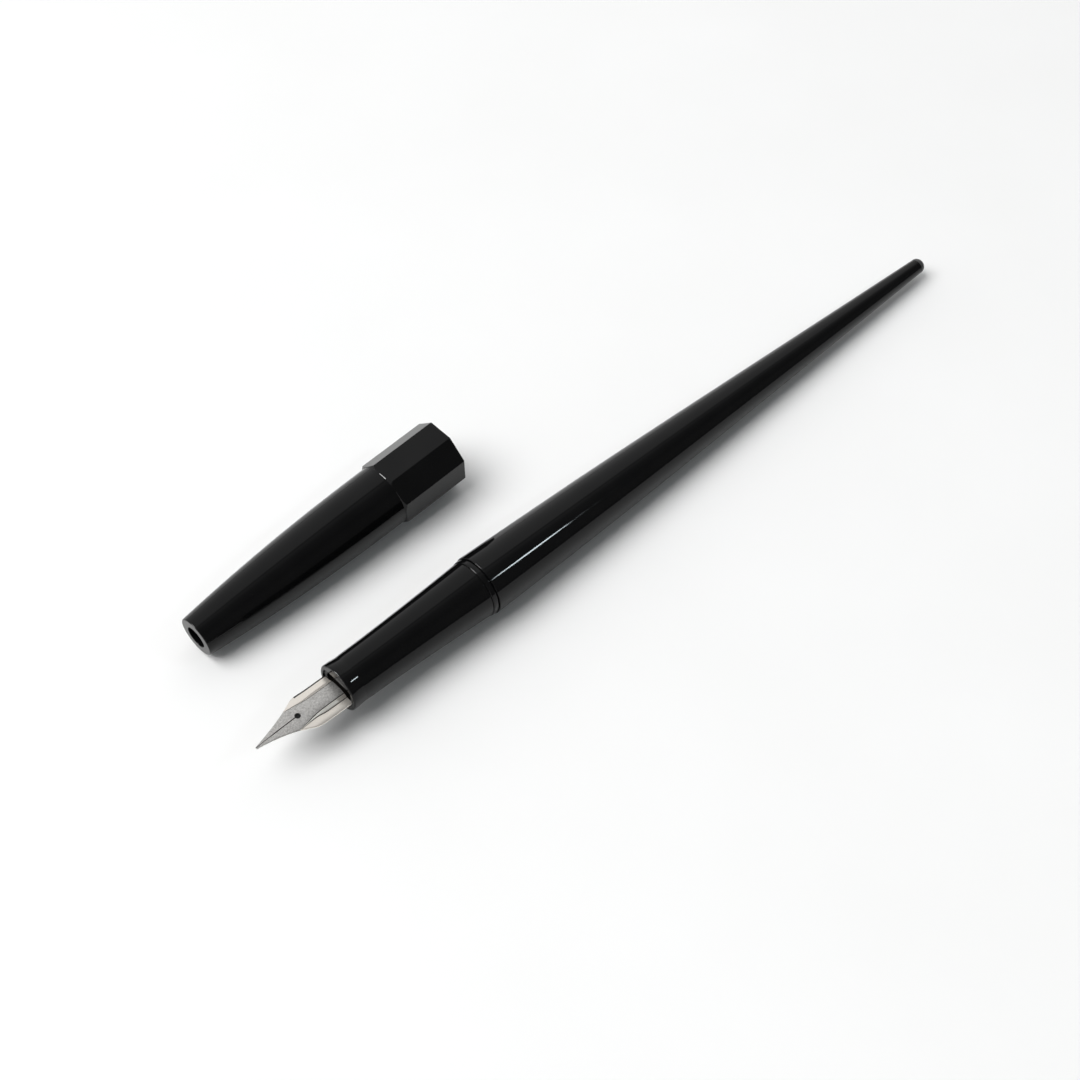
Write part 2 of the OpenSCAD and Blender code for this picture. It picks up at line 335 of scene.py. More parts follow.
def ink_plastic():
    """Thin cartridge plastic, darker where ink clings to its wall."""
    m = Nodes("ink_plastic")
    grain = m.cad_coordinates()
    m.tint(m.spread(m.noise(grain, 0.18, 4), 0, 1), (0.010, 0.014, 0.035), (0.05, 0.07, 0.14))
    m.link(m.spread(m.noise(grain, 1.5, 4), 0.10, 0.24), m.shader.inputs["Roughness"])
    m.bump(m.noise(grain, 1.2, 3), 0.12, 0.00003)
    m.set(IOR=1.49, Transmission_Weight=0.25)
    return m.material


def inner_black():
    """Plain black plastic of the inner CAD nodes."""
    m = Nodes("inner_black")
    grain = m.cad_coordinates()
    m.tint(m.spread(m.noise(grain, 0.5, 3), 0, 1), (0.010, 0.010, 0.010), (0.018, 0.018, 0.018))
    m.link(m.spread(m.noise(grain, 3, 4), 0.35, 0.5), m.shader.inputs["Roughness"])
    m.bump(m.noise(grain, 14, 3), 0.25, 0.00002)
    return m.material


def tail_grey():
    """Satin dark grey plastic whose tone varies a little at random."""
    m = Nodes("tail_grey")
    grain = m.own_coordinates()
    m.tint(m.spread(m.noise(grain, 0.9, 4), 0, 1), (0.030, 0.030, 0.031), (0.052, 0.052, 0.053))
    m.link(m.spread(m.noise(grain, 4, 4), 0.28, 0.42), m.shader.inputs["Roughness"])
    m.bump(m.noise(grain, 12, 3), 0.15, 0.00002)
    return m.material


MATERIALS = {
    "gloss_black": gloss_black(), "matt_black": matt_black(), "nib_steel": nib_steel(),
    "tail_grey": tail_grey(),
}
CAD_MATERIALS = {
    "cartridge_ball": ball_steel(), "ink_cartridge": ink_plastic(),
    "nib_collar": inner_black(), "cartridge_nipple": inner_black(),
}

# ---------------------------------------------------------------- barrel and tail

PEN_LENGTH = 177.5
BARREL_END = PEN_LENGTH - 1.6
BARREL_BLEND = 62.0
FRONT_R = 6.05
FRONT_SLOPE = 0.02
REAR_SLOPE = 0.0405
THREAD_LEAD = 1.0
THREAD_END = 60.0
BORE_R = 4.05
BORE_END = 100.2
WALL = 1.1
PLUG_R = 0.9


def barrel_r(x):
    """Radius of the barrel: its slope grows smoothly over the blend and then stays."""
    d = x - BARREL_START
    t = min(1, d / BARREL_BLEND)
    grown = BARREL_BLEND * (t ** 3 - t ** 4 / 2) + max(0, d - BARREL_BLEND)
    return FRONT_R - FRONT_SLOPE * d - (REAR_SLOPE - FRONT_SLOPE) * grown


def thread(x, angles, low_r, high_r, crest, root):
    """Radius along a right-hand thread: high_r within crest of its ridge, low_r beyond root."""
    phase = x / THREAD_LEAD - angles / (2 * math.pi)
    off = np.abs(phase - np.round(phase))
    share = np.clip((root - off) / (root - crest), 0, 1)
    return low_r + (high_r - low_r) * share


def barrel():
    angles = turning(192)
    edge = 0.16
    front = rounded([
        (BARREL_START + 0.7, 4.9, 0), (BARREL_START, 4.9, 0.12), (BARREL_START, FRONT_R, edge),
        (BARREL_START + 1.2, barrel_r(BARREL_START + 1.2), 0),
    ], closed=False)
    outside = [(x, barrel_r(x)) for x in stations(BARREL_START + 2.2, BARREL_END - 1, 118)]
    end_r = barrel_r(BARREL_END)
    tail = rounded([
        (BARREL_END - 0.5, barrel_r(BARREL_END - 0.5), 0), (BARREL_END, end_r, 0.1),
        (BARREL_END, PLUG_R, 0.05), (PEN_LENGTH - 9.5, PLUG_R, 0), (113, barrel_r(113) - WALL, 0),
        (BORE_END + 2, barrel_r(BORE_END + 2) - WALL, 0), (BORE_END, BORE_R, 0.3),
        (THREAD_END + 0.8, BORE_R, 0.3), (THREAD_END, 4.95, 0.2), (THREAD_END - 0.4, 4.95, 0),
    ], closed=False)
    cut = [
        (x, thread(x, angles, 4.66, 4.95, 0.36, 0.48))
        for x in stations(THREAD_END - 0.8, BARREL_START + 1.2, 78)
    ]
    turned(
        "barrel_body", front + outside + tail + cut, PEN, "barrel", "gloss_black", "barrel", angles
    )


def tail_plug():
    head_x = BARREL_END + 0.05
    head_r = barrel_r(BARREL_END)
    length = PEN_LENGTH - head_x
    stem = rounded([
        (PEN_LENGTH - 7.5, 0.01, 0), (PEN_LENGTH - 7.5, PLUG_R - 0.03, 0.25),
        (head_x, PLUG_R - 0.03, 0.05), (head_x, head_r, 0.1), (head_x + 0.35, head_r - 0.012, 0),
    ], closed=False)
    dome = []
    for a in stations(10, 90, 12)[:-1]:
        t = math.radians(a)
        dome.append((
            head_x + 0.35 + (length - 0.35) * math.sin(t) ** 1.15, (head_r - 0.012) * math.cos(t) ** 0.75
        ))
    turned("tail_cap", stem + dome + [(PEN_LENGTH, 0.01)], PEN, "barrel", "tail_grey", "tail_plug",
           turning(96), closed=False)


# ---------------------------------------------------------------- grip and ring

NIB_EXPOSED = 17.9
LIP_R = 4.76
NECK_R = 4.61
GRIP_FRONT_R = 4.55
RING_R = 5.83
GRIP_SHOULDER = 49.7
JOURNAL_R = 5.0
SPIGOT_R = 4.85
SPIGOT_END = 59.0
MOUTH_R = 4.0
MOUTH_TOP = 2.4
COLLAR_START = 18.25
COLLAR_END = 32.2
COLLAR_R = 3.95


def grip_r(x):
    """Radius of the grip: a shallow neck behind the lip, then a gentle flare."""
    d = x - NIB_EXPOSED - 2
    return GRIP_FRONT_R + 0.0235 * d + 0.0005 * d * d + 0.171 * math.exp(-(d + 0.5) / 2.88)


def mouth_radius(angles):
    """The mouth for nib and feed: a circle cut flat above, with its two corners rounded."""
    up = np.maximum(np.sin(angles), 1e-6)
    flat = np.where(np.sin(angles) > 0.02, MOUTH_TOP / up, 99.0)
    soft = 14.0
    return (MOUTH_R ** -soft + flat ** -soft) ** (-1 / soft)


def grip_section():
    angles = turning(192)
    hole = mouth_radius(angles)
    front = [
        (COLLAR_START, hole), (NIB_EXPOSED + 0.14, hole), (NIB_EXPOSED + 0.04, hole + 0.03),
        (NIB_EXPOSED, hole + 0.1),
        (NIB_EXPOSED, hole * 0.35 + 4.1 * 0.65),
    ]
    lip = rounded([
        (NIB_EXPOSED, 4.05, 0), (NIB_EXPOSED, LIP_R, 0.62), (NIB_EXPOSED + 1.1, LIP_R - 0.01, 0.5),
        (NIB_EXPOSED + 2.8, NECK_R, 0.8), (NIB_EXPOSED + 4.4, grip_r(NIB_EXPOSED + 4.4), 0),
    ], closed=False, steps=8)
    body = [(x, grip_r(x)) for x in stations(NIB_EXPOSED + 4.8, GRIP_SHOULDER - 0.9, 50)]
    shoulder = rounded([
        (GRIP_SHOULDER - 0.5, grip_r(GRIP_SHOULDER - 0.5), 0),
        (GRIP_SHOULDER, grip_r(GRIP_SHOULDER), 0.12),
        (GRIP_SHOULDER, JOURNAL_R, 0.05), (BARREL_START, JOURNAL_R, 0.05),
        (BARREL_START, SPIGOT_R, 0.03), (BARREL_START + 0.2, SPIGOT_R - 0.2, 0),
    ], closed=False)
    cut = [
        (x, thread(x, angles, 4.52, SPIGOT_R, 0.15, 0.30))
        for x in stations(BARREL_START + 0.5, SPIGOT_END - 0.9, 74)
    ]
    inside = rounded([
        (SPIGOT_END - 0.5, 4.5, 0), (SPIGOT_END, 4.4, 0.15), (SPIGOT_END, 4.0, 0.12),
        (38.2, 4.0, 0.1), (38.2, 1.45, 0.05), (34.2, 1.45, 0.05), (34.2, 2.2, 0.05),
        (COLLAR_END, 2.2, 0.05), (COLLAR_END, COLLAR_R, 0.05), (COLLAR_START, COLLAR_R, 0),
    ], closed=False)
    turned("grip_body", front + lip + body + shoulder + cut + inside, PEN, "grip",
           "gloss_black", "grip_section", angles)


def snap_ring():
    x0 = GRIP_SHOULDER + 0.05
    x1 = x0 + 1.2
    outline = rounded([
        (x0, JOURNAL_R + 0.05, 0.05), (x0, RING_R, 0.28), (x1, RING_R, 0.28),
        (x1, JOURNAL_R + 0.05, 0.05),
    ], steps=8)
    turned("snap_collar", outline, PEN, "ring", "gloss_black", "snap_ring", turning(192))


# ---------------------------------------------------------------- nib

NIB_HALF = 3.85
NIB_SHEET = 0.25
CREST_Z = 0.55
BREATHER_X = 9.1
BREATHER_R = 0.55
SLIT_HALF = 0.06
# The fine grooves along the creases; painted shade along the far edge from one x on, and on the shank
GROOVE_HALF = 0.12
GROOVE_DEPTH = 0.09
PAINTED_SHADE_EDGE = 0.14
PAINTED_SHADE_FROM = 11.0
PAINTED_SHADE_MOUTH = (18.0, 20.2)
NIB_END = 27.0
SHANK_X = 17.95
SHANK_STEP = 0.2
SHANK_HALF = 3.0


def curve(x, *knots):
    """A smooth curve through knots (x, value), level with its neighbours' chords at each knot."""
    xs = [k[0] for k in knots]
    ys = [k[1] for k in knots]
    if x <= xs[0]:
        return ys[0]
    if x >= xs[-1]:
        return ys[-1]
    slopes = [0.0] * len(xs)
    chords = [(ys[i + 1] - ys[i]) / (xs[i + 1] - xs[i]) for i in range(len(xs) - 1)]
    slopes[0], slopes[-1] = chords[0], chords[-1]
    for i in range(1, len(xs) - 1):
        a, b = chords[i - 1], chords[i]
        slopes[i] = 0.0 if a * b <= 0 else 2 * a * b / (a + b)
    i = next(k for k in range(len(xs) - 1) if x <= xs[k + 1])
    h = xs[i + 1] - xs[i]
    t = (x - xs[i]) / h
    a = ys[i] * (1 + 2 * t) * (1 - t) ** 2 + slopes[i] * h * t * (1 - t) ** 2
    return a + ys[i + 1] * t * t * (3 - 2 * t) + slopes[i + 1] * h * t * t * (t - 1)


def nib_half_width(x):
    return curve(x, (0, 0.17), (1.0, 0.38), (4.0, 1.14), (7.0, 2.12), (9.0, 3.02), (10.0, 3.50),
                 (10.9, 3.78), (11.8, NIB_HALF), (SHANK_X, NIB_HALF),
                 (SHANK_X + SHANK_STEP, SHANK_HALF))


def inner_crease(x):
    return curve(x, (7.2, 2.36), (9.5, 2.12), (11.5, 1.80), (13.2, 1.67), (27, 1.65))


def outer_crease(x):
    return curve(x, (7.6, 2.44), (9.5, 2.32), (11.5, 2.20), (14, 2.40), (27, 2.45))


def crest(x):
    return curve(x, (0, -0.08), (3, 0.20), (8, 0.47), (13, CREST_Z), (27, CREST_Z))


def nib_drop(y, a, b):
    """How far the sheet lies below its crest at a distance y from the middle."""
    at_a, steep, wing, roll, roll_width = 0.20, 0.6, 0.16, 0.10, 0.5
    if y <= a:
        return at_a * (y / a) ** 2
    if y <= b:
        return at_a + steep * (y - a)
    rolled = max(0, y - NIB_HALF + roll_width) / roll_width
    return at_a + steep * (b - a) + wing * (y - b) / (NIB_HALF - b) + roll * rolled ** 2


def nib_z(x, y):
    return crest(x) - nib_drop(y, inner_crease(x), outer_crease(x))


def nib_columns(x, inner):
    """Distances from the middle of the nib's columns at x, crowded at the creases and the edge,
    the half width there, and the place and depth of the fine groove at each crease."""
    edge = nib_half_width(x)
    last = max(edge - 0.09, edge * 0.88)
    b = min(outer_crease(x), max(edge - 0.14, edge * 0.76))
    a = min(inner_crease(x), max(edge - 0.20, edge * 0.62))
    side = min(GROOVE_HALF, (b - a) / 3, (last - b) / 2, (a - inner) / 4)
    lip = min(0.05, (a - inner) / 3)
    # Painted shade: on the far side the band from rim to the edge is painted dark.
    rim = max(last - PAINTED_SHADE_EDGE, (b + side + last) / 2)
    near_slit = [inner, inner + 0.4 * lip, inner + lip]
    cols = near_slit + stations(near_slit[-1], a - side, 7)[1:]
    cols += [a] + stations(a + side, b - side, 3)
    cols += [b] + stations(b + side, rim, 4) + [last]
    begun_a = min(1, max(0, (edge - inner_crease(x) - 0.18) / 0.2))
    begun_b = min(1, max(0, (edge - outer_crease(x) - 0.12) / 0.2))
    return cols, edge, [(a, GROOVE_DEPTH * begun_a), (b, GROOVE_DEPTH * begun_b)]


def nib_inner(x):
    """Half the gap in the middle at x: the slit, then the breather hole, then none."""
    d = abs(x - BREATHER_X)
    if d < BREATHER_R:
        return max(SLIT_HALF if x < BREATHER_X else 0, math.sqrt(BREATHER_R ** 2 - d * d))
    return SLIT_HALF if x < BREATHER_X else 0.0


def nib_stations():
    holes = [BREATHER_X - BREATHER_R * math.cos(math.radians(a)) for a in stations(5, 175, 17)]
    front = stations(0, 1.2, 8) + stations(1.2, holes[0] - 0.05, 34)[1:]
    back = stations(holes[-1] + 0.02, SHANK_X - 0.1, 44)
    shank = stations(SHANK_X, SHANK_X + SHANK_STEP, 4)
    return front + holes + back + shank + stations(SHANK_X + 0.6, NIB_END, 16)


def nib_side(side):
    """Points and faces of one half of the nib, a closed skin with a rolled outer edge, and for
    each point how much painted shade it carries and whether it is on the wing, which gets a painted reflection."""
    verts, faces, ink, wing = [], [], [], []
    rows = []
    xs = nib_stations()
    for x in xs:
        inner = nib_inner(x)
        cols, edge, grooves = nib_columns(x, inner)
        if side > 0:
            grooves = grooves[:1]
        crease, begun = grooves[0]
        grooves = dict(grooves)
        rolled = edge - cols[-1]
        top = [(y, nib_z(x, y) - grooves.get(y, 0)) for y in cols]
        top[0] = (inner, top[0][1] - (0.02 if inner > 0 else 0))
        corner_z = nib_z(x, edge) - rolled
        for a in (70, 45, 20, 0):
            t = math.radians(a)
            top.append((edge - rolled + rolled * math.cos(t), corner_z + rolled * math.sin(t)))
        bottom_z = corner_z - (NIB_SHEET - rolled)
        under = [(edge, bottom_z), (edge - rolled / 2, bottom_z - 0.02)]
        under += [(y, nib_z(x, y) - NIB_SHEET) for y in reversed(cols[:-2])]
        row = top + under
        # Painted shade: dark in the crease grooves, along the slit, along the far edge and on the part inside the
        # grip's mouth.
        inked = [1.0 if grooves.get(y, 0) > 0 else 0.0 for y in cols]
        if inner > 0 and x < BREATHER_X:
            inked[:2] = [1.0, 1.0]
        if side > 0 and x > PAINTED_SHADE_FROM:
            inked[-2:] = [1.0, 1.0]
        if PAINTED_SHADE_MOUTH[0] < x < PAINTED_SHADE_MOUTH[1]:
            inked = [1.0] * len(cols)
        # The wing beyond the inner crease is marked for a lighter, warmer colour: painted reflection.
        winged = [1.0 if y > crease and begun > 0 else 0.0 for y in cols]
        ink += inked + [inked[-1]] * (len(row) - len(cols))
        wing += winged + [winged[-1]] * (len(row) - len(cols))
        rows.append(len(row))
        verts += [(x, side * y, z) for y, z in row]
    n = rows[0]
    for i in range(len(xs) - 1):
        for k in range(n):
            m = (k + 1) % n
            if k == n - 1 and nib_inner(xs[i]) == 0 and nib_inner(xs[i + 1]) == 0:
                continue
            faces.append((i * n + k, i * n + m, (i + 1) * n + m, (i + 1) * n + k))
    faces.append(tuple(range(n)))
    last = (len(xs) - 1) * n
    faces.append(tuple(last + k for k in reversed(range(n))))
    return verts, faces, {"ink": ink, "wing": wing}


def nib():
    left, left_faces, left_marks = nib_side(1)
    right, right_faces, right_marks = nib_side(-1)
    shift = len(left)
    faces = left_faces + [tuple(shift + k for k in reversed(f)) for f in right_faces]
    made = finished("nib_plate", left + right, faces, PEN, "nib_unit", "nib_steel", "nib", 30)
    # Both marks go on the points: the painted shade and the wing's painted reflection.
    for mark in ("ink", "wing"):
        marked = made.data.attributes.new(mark, "FLOAT", "POINT")
        marked.data.foreach_set("value", left_marks[mark] + right_marks[mark])
    work = bmesh.new()
    work.from_mesh(made.data)
    bmesh.ops.remove_doubles(work, verts=work.verts, dist=0.000002)
    bmesh.ops.recalc_face_normals(work, faces=work.faces)
    work.to_mesh(made.data)
    work.free()


def nib_point():
    """The hard point welded under the tip, parted by the slit."""
    verts, faces = [], []
    rings, around = 10, 14
    for side in (1, -1):
        base = len(verts)
        for i in range(rings + 1):
            t = math.pi * i / rings
            x = 0.42 - 0.40 * math.cos(t)
            r = 0.20 * math.sin(t) + 0.004
            for k in range(around + 1):
                a = -math.pi / 2 + math.pi * k / around
                y = side * (SLIT_HALF + 0.9 * r * math.cos(a))
                verts.append((x, y, -0.32 + r * math.sin(a)))
        n = around + 1
        for i in range(rings):
            for k in range(around + 1):
                m = (k + 1) % n
                faces.append((base + i * n + k, base + i * n + m, base + (i + 1) * n + m,
                              base + (i + 1) * n + k))
        faces.append(tuple(base + k for k in range(n)))
        faces.append(tuple(base + rings * n + k for k in reversed(range(n))))
    finished("nib_point", verts, faces, PEN, "nib_unit", "nib_steel", None, 50)


# ---------------------------------------------------------------- feed


def feed_r(x):
    """Outer radius of the feed: a prow that swells from its tip, then the part in the collar."""
    if x < 18.3:
        return curve(x, (3.6, 0.35), (5, 0.85), (8, 1.68), (12, 2.48), (15, 2.78), (18.3, 2.8))
    return 3.18


def feed_rings(angles):
    rings = []
    xs = stations(3.6, 9.5, 24)
    groove_gap, fin_gap, side = 0.34, 0.4, 0.02
    groove_starts = [9.8 + 0.9 * i for i in range(8)]
    fin_starts = [18.85 + i for i in range(11)]
    for x in groove_starts:
        xs += [x, x + side, x + groove_gap - side, x + groove_gap]
    xs += stations(17.3, 18.28, 5)
    xs += [18.32, 18.7]
    for x in fin_starts:
        xs += [x, x + side, x + fin_gap - side, x + fin_gap]
    xs += [30.2, 31.0, 31.9]
    for x in xs:
        r = feed_r(x) + 0 * angles
        in_groove = any(side / 2 < x - start < groove_gap - side / 2 for start in groove_starts)
        in_fin = any(side / 2 < x - start < fin_gap - side / 2 for start in fin_starts)
        if in_groove:
            r = r - 0.3
        if in_fin:
            r = r * 0 + 2.0
        rings.append((x, np.minimum(r, feed_top_radius(x, angles, r))))
    return rings


def feed_top_radius(x, angles, reach):
    """Radius at which each ray from the axis meets the underside of the nib or the flat top."""
    limit = np.array(reach, dtype=float)
    for k, a in enumerate(angles):
        up, out = math.sin(a), abs(math.cos(a))
        if up <= -0.35:
            continue
        low, high = 0.0, float(reach[k])
        for _ in range(22):
            middle = (low + high) / 2
            y, z = middle * out, middle * up
            if x < NIB_END + 0.3:
                top = nib_z(min(x, NIB_END), min(y, NIB_HALF)) - NIB_SHEET - 0.04
            else:
                top = 2.2
            if z > top:
                high = middle
            else:
                low = middle
        limit[k] = high
    return limit


def feed():
    angles = turning(128)
    rings = feed_rings(angles)
    rod = rounded([
        (31.9, 0.9, 0), (31.95, 0.55, 0.05), (37.0, 0.55, 0.15), (37.2, 0.02, 0)
    ], closed=False)
    turned("feed_body", rings + rod, PEN, "nib_unit", "matt_black", "feed", angles, closed=False)


# ---------------------------------------------------------------- cap

CAP_LENGTH = 60.0
CAP_END_R = 4.03
CAP_BODY_R = 6.22
OCTAGON_START = CAP_LENGTH - 15.1
CAP_POWER = 2.1
CORNER_FILLET = 0.22
END_HOLE_R = 2.2
END_HOLE_DEPTH = 5.0


def cap_r(t):
    rise = max(0, 1 - t / OCTAGON_START) ** CAP_POWER
    return CAP_BODY_R - (CAP_BODY_R - CAP_END_R) * rise


def octagon_angles(flat_steps=12, corner_steps=6):
    """Angles round the cap, crowded where the octagon's rounded corners are."""
    half_turn = math.radians(22.5)
    corner_centre = (CAP_APOTHEM - CORNER_FILLET) * math.tan(half_turn)
    flat_end = math.atan(corner_centre / CAP_APOTHEM)
    around = []
    for facet in range(8):
        middle = facet * 2 * half_turn
        for t in stations(-1, 1, flat_steps):
            around.append(middle + math.atan(t * corner_centre / CAP_APOTHEM))
        for t in stations(0, 1, corner_steps)[1:-1]:
            around.append(middle + flat_end + t * 2 * (half_turn - flat_end))
    return np.array(around)


def octagon_radius(angles):
    """Distance from the axis to the octagon's rounded outline, in each direction."""
    half_turn = math.radians(22.5)
    off = np.abs((angles + half_turn) % (2 * half_turn) - half_turn)
    flat = CAP_APOTHEM / np.cos(off)
    centre = (CAP_APOTHEM - CORNER_FILLET) / math.cos(half_turn)
    from_corner = half_turn - off
    inside = np.maximum(CORNER_FILLET ** 2 - (centre * np.sin(from_corner)) ** 2, 0)
    corner = centre * np.cos(from_corner) + np.sqrt(inside)
    flat_end = math.atan((CAP_APOTHEM - CORNER_FILLET) * math.tan(half_turn) / CAP_APOTHEM)
    return np.where(off <= flat_end, flat, corner)


def cap_shell():
    angles = octagon_angles()
    octagon = octagon_radius(angles)
    end = rounded([
        (0.6, END_HOLE_R, 0), (0, END_HOLE_R, 0.12), (0, CAP_END_R, 0.26),
        (0.9, cap_r(0.9), 0),
    ], closed=False)
    body = [(t, cap_r(t)) for t in stations(1.3, OCTAGON_START - 0.12, 60)]
    step = []
    bevel, first = 0.62, CAP_BODY_R + 0.02
    for t in stations(0, 1, 16):
        cone = first + (7.0 - first) * t
        step.append((OCTAGON_START + bevel * t, np.minimum(cone, octagon)))
    prism = [(t, octagon) for t in stations(OCTAGON_START + 0.8, CAP_LENGTH - 0.5, 10)]
    mouth_edge = 0.18
    for a in (0, 15, 30, 45, 60, 75, 90):
        t = math.radians(a)
        prism.append((
            CAP_LENGTH - mouth_edge + mouth_edge * math.sin(t),
            octagon - mouth_edge + mouth_edge * math.cos(t),
        ))
    inside = rounded([
        (CAP_LENGTH, 6.05, 0), (CAP_LENGTH, 5.9, 0.1), (58.75, 5.9, 0.05), (58.6, 5.72, 0.08),
        (46, 5.72, 0.1), (45.6, 5.35, 0.1), (26, 5.35, 0.05), (26, 4.55, 0.05), (14, 4.55, 0.05),
        (14, 3.9, 0.05), (END_HOLE_DEPTH, 3.9, 0.05), (END_HOLE_DEPTH, END_HOLE_R, 0.05),
        (0.8, END_HOLE_R, 0),
    ], closed=False)
    turned("cap_body", end + body + step + prism + inside, CAP, "cap", "gloss_black", "cap_shell",
           angles)


def inner_cap():
    liner = rounded([
        (END_HOLE_DEPTH + 0.02, 0.01, 0), (END_HOLE_DEPTH + 0.02, 3.88, 0.1), (13.95, 3.88, 0.05),
        (13.95, 4.53, 0.05), (25.95, 4.53, 0.05), (25.95, 5.33, 0.05), (33, 5.33, 0.15),
        (33, 4.85, 0.2), (26.9, 4.85, 0.1), (26.9, 4.1, 0.1), (17, 4.1, 0.1), (17, 3.3, 0.1),
        (7.5, 3.3, 0.3), (7.5, 0.01, 0),
    ], closed=False)
    turned("cap_liner", liner, CAP, "cap", "matt_black", "inner_cap", turning(128), closed=False)
    rib()


def rib():
    """The rib across the hole of the narrow end, set back in it, with rounded long edges."""
    half, round_r = 0.3, 0.1
    middle = -0.7
    side = [
        (middle - half, 1), (middle - half + 0.03, round_r * 0.3), (middle - half + round_r, 0),
        (middle + half - round_r, 0), (middle + half - 0.03, round_r * 0.3), (middle + half, 1),
    ]
    reach = math.sqrt((END_HOLE_R - 0.02) ** 2 - (abs(middle) + half) ** 2)
    verts, faces = [], []
    levels = stations(-reach, reach, 8)
    for z in levels:
        for y, back in side:
            x = 2.2 + (0 if back == 0 else round_r * 0.6 if back < 1 else round_r)
            verts.append((x, y, z))
        verts.append((END_HOLE_DEPTH + 0.2, middle + half, z))
        verts.append((END_HOLE_DEPTH + 0.2, middle - half, z))
    n = len(side) + 2
    for i in range(len(levels) - 1):
        for k in range(n):
            m = (k + 1) % n
            faces.append((i * n + k, i * n + m, (i + 1) * n + m, (i + 1) * n + k))
    faces.append(tuple(range(n)))
    last = (len(levels) - 1) * n
    faces.append(tuple(last + k for k in reversed(range(n))))
    finished("cap_rib", verts, faces, CAP, "cap", "matt_black", None)


# ---------------------------------------------------------------- camera, floor and light

VIEW_AZIMUTH = 45.381
VIEW_ELEVATION = 53.447
VIEW_ROLL = 1.597
VIEW_DISTANCE = 355.28
VIEW_TARGET = (69.63, 3.15)
LENS = 62.43


def camera_axes():
    """Right, up and forward directions of the camera."""
    azimuth, elevation = math.radians(VIEW_AZIMUTH), math.radians(VIEW_ELEVATION)
    forward = Vector((
        math.cos(elevation) * math.cos(azimuth), math.cos(elevation) * math.sin(azimuth),
        -math.sin(elevation),
    ))
    right = forward.cross(Vector((0, 0, 1))).normalized()
    up = right.cross(forward)
    roll = math.radians(VIEW_ROLL)
    return (
        right * math.cos(roll) + up * math.sin(roll), up * math.cos(roll) - right * math.sin(roll),
        forward,
    )


def camera():
    tip = PEN.translation
    target = Vector((tip.x + VIEW_TARGET[0] * MM, tip.y + VIEW_TARGET[1] * MM, 0))
    right, up, forward = camera_axes()
    data = bpy.data.cameras.new("camera")
    data.lens = LENS
    data.sensor_width = 36
    data.clip_start = 0.01
    made = bpy.data.objects.new("camera", data)
    bpy.context.scene.collection.objects.link(made)
    turn = Matrix((right, up, -forward)).transposed()
    made.matrix_world = Matrix.Translation(target - forward * VIEW_DISTANCE * MM) @ turn.to_4x4()
    bpy.context.scene.camera = made
    return made.matrix_world.translation.copy()


def floor():
    half = 1.6
    mesh = bpy.data.meshes.new("floor")
    mesh.from_pydata(
        [(-half, -half, 0), (half, -half, 0), (half, half, 0), (-half, half, 0)], [], [(0, 1, 2, 3)]
    )
    made = bpy.data.objects.new("floor", mesh)
    bpy.context.scene.collection.objects.link(made)
    m = Nodes("floor_white")
    grain = m.cad_coordinates()
    m.tint(m.spread(m.noise(grain, 0.02, 3), 0, 1), (0.90, 0.90, 0.895), (0.92, 0.92, 0.917))
    m.link(m.spread(m.noise(grain, 0.5, 3), 0.55, 0.65), m.shader.inputs["Roughness"])
    m.set(Specular_IOR_Level=0.1)
    mesh.materials.append(m.material)


# The room's brightness by the angle above the floor, from the far side (0) over to the near (180)
ROOM = [
    (0, 0.80), (79, 0.80), (83, 0.22), (88, 0.42), (100, 0.20), (128, 0.12), (150, 0.18),
    (172, 0.16), (180, 0.06),
]
# The streak's middle on the barrel, how far round the near side it runs, and its lamp
STREAK_X = 61
STREAK_SIDE = 33.5
STREAK_LEAN = 0.022
STREAK_DISTANCE = 1.6
STREAK_SIZE = 0.11
STREAK_POWER = 1.4
STREAK_COLOUR = (0.84, 0.95, 1.0)
TOP_LAMP = (-0.75, 0.4, 1.3)
TOP_SIZE = 1.3
TOP_POWER = 20.0
# Where the lip's highlight lies, and its lamp
FRONT_SPOT = (NIB_EXPOSED + 0.2, 0, LIP_R - 0.2)
FRONT_NORMAL = (-0.75, 0, 0.66)
FRONT_DISTANCE = 1.2
FRONT_SIZE = 0.4
FRONT_POWER = 12.0


def lamp(name, where, look_at, size, power, glossy):
    data = bpy.data.lights.new(name, "AREA")
    data.shape = "DISK"
    data.size = size
    data.energy = power
    made = bpy.data.objects.new(name, data)
    bpy.context.scene.collection.objects.link(made)
    made.location = where
    made.rotation_mode = "QUATERNION"
    made.rotation_quaternion = (Vector(look_at) - Vector(where)).to_track_quat("-Z", "Y")
    made.visible_glossy = glossy
    return made


def bounced(eye, spot, normal):
    """Direction in which a ray from the eye leaves the spot."""
    ray = (spot - eye).normalized()
    return ray - 2 * ray.dot(normal) * normal


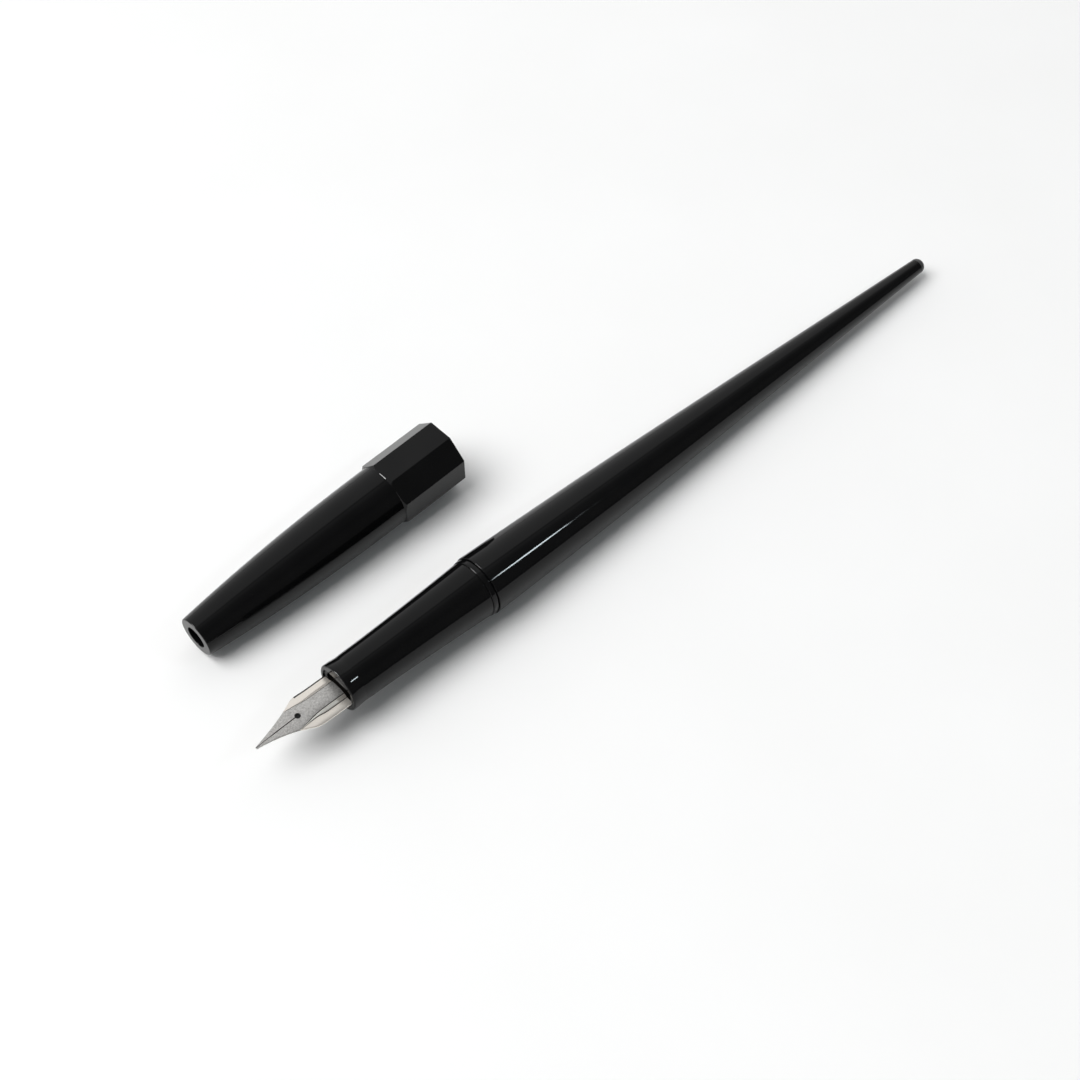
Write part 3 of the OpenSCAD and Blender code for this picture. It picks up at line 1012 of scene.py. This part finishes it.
def studio(eye):
    """A white room behind the pen, a darker one on the near side, a large soft lamp, a small bright
    one whose reflection runs along the barrel, and one aimed at the grip's front lip. That last one
    also shows on the ring's shoulders, on the octagon's step and on the cap's narrow end."""
    world = bpy.data.worlds.new("studio")
    bpy.context.scene.world = world
    world.use_nodes = True
    tree = world.node_tree
    source = tree.nodes.new("ShaderNodeTexCoord")
    parts = tree.nodes.new("ShaderNodeSeparateXYZ")
    tree.links.new(source.outputs["Generated"], parts.inputs[0])
    angle = tree.nodes.new("ShaderNodeMath")
    angle.operation = "ARCTAN2"
    tree.links.new(parts.outputs["Z"], angle.inputs[0])
    tree.links.new(parts.outputs["Y"], angle.inputs[1])
    share = tree.nodes.new("ShaderNodeMath")
    share.operation = "DIVIDE"
    share.inputs[1].default_value = math.pi
    tree.links.new(angle.outputs[0], share.inputs[0])
    ramp = tree.nodes.new("ShaderNodeValToRGB")
    stops = ramp.color_ramp.elements
    for i, (degrees, grey) in enumerate(ROOM):
        stop = stops[i] if i < 2 else stops.new(degrees / 180)
        stop.position = degrees / 180
        stop.color = (grey, grey, grey, 1)
    tree.links.new(share.outputs[0], ramp.inputs[0])
    tree.links.new(ramp.outputs["Color"], tree.nodes["Background"].inputs["Color"])

    tilt = math.radians(STREAK_SIDE)
    outward = Vector((0, -math.sin(tilt), math.cos(tilt)))
    spot = PEN @ (Vector((STREAK_X, 0, 0)) + barrel_r(STREAK_X) * outward)
    normal = pen_axes @ (outward + Vector((STREAK_LEAN, 0, 0))).normalized()
    away = spot + bounced(eye, spot, normal) * STREAK_DISTANCE
    streak = lamp("streak_lamp", away, spot, STREAK_SIZE, STREAK_POWER, True)
    streak.data.color = STREAK_COLOUR
    lamp("top_lamp", TOP_LAMP, (0, 0, 0), TOP_SIZE, TOP_POWER, False)

    spot = PEN @ Vector(FRONT_SPOT)
    normal = pen_axes @ Vector(FRONT_NORMAL).normalized()
    away = spot + bounced(eye, spot, normal) * FRONT_DISTANCE
    front = lamp("front_lamp", away, spot, FRONT_SIZE, FRONT_POWER, True)
    front.visible_diffuse = False


def finish_cad_nodes():
    for node, material in CAD_MATERIALS.items():
        mesh = frame["nodes"][node].data
        mesh.materials.clear()
        mesh.materials.append(material)


barrel()
tail_plug()
grip_section()
snap_ring()
nib()
nib_point()
feed()
cap_shell()
inner_cap()
finish_cad_nodes()
floor()
studio(camera())
bpy.context.scene.view_settings.view_transform = "Standard"
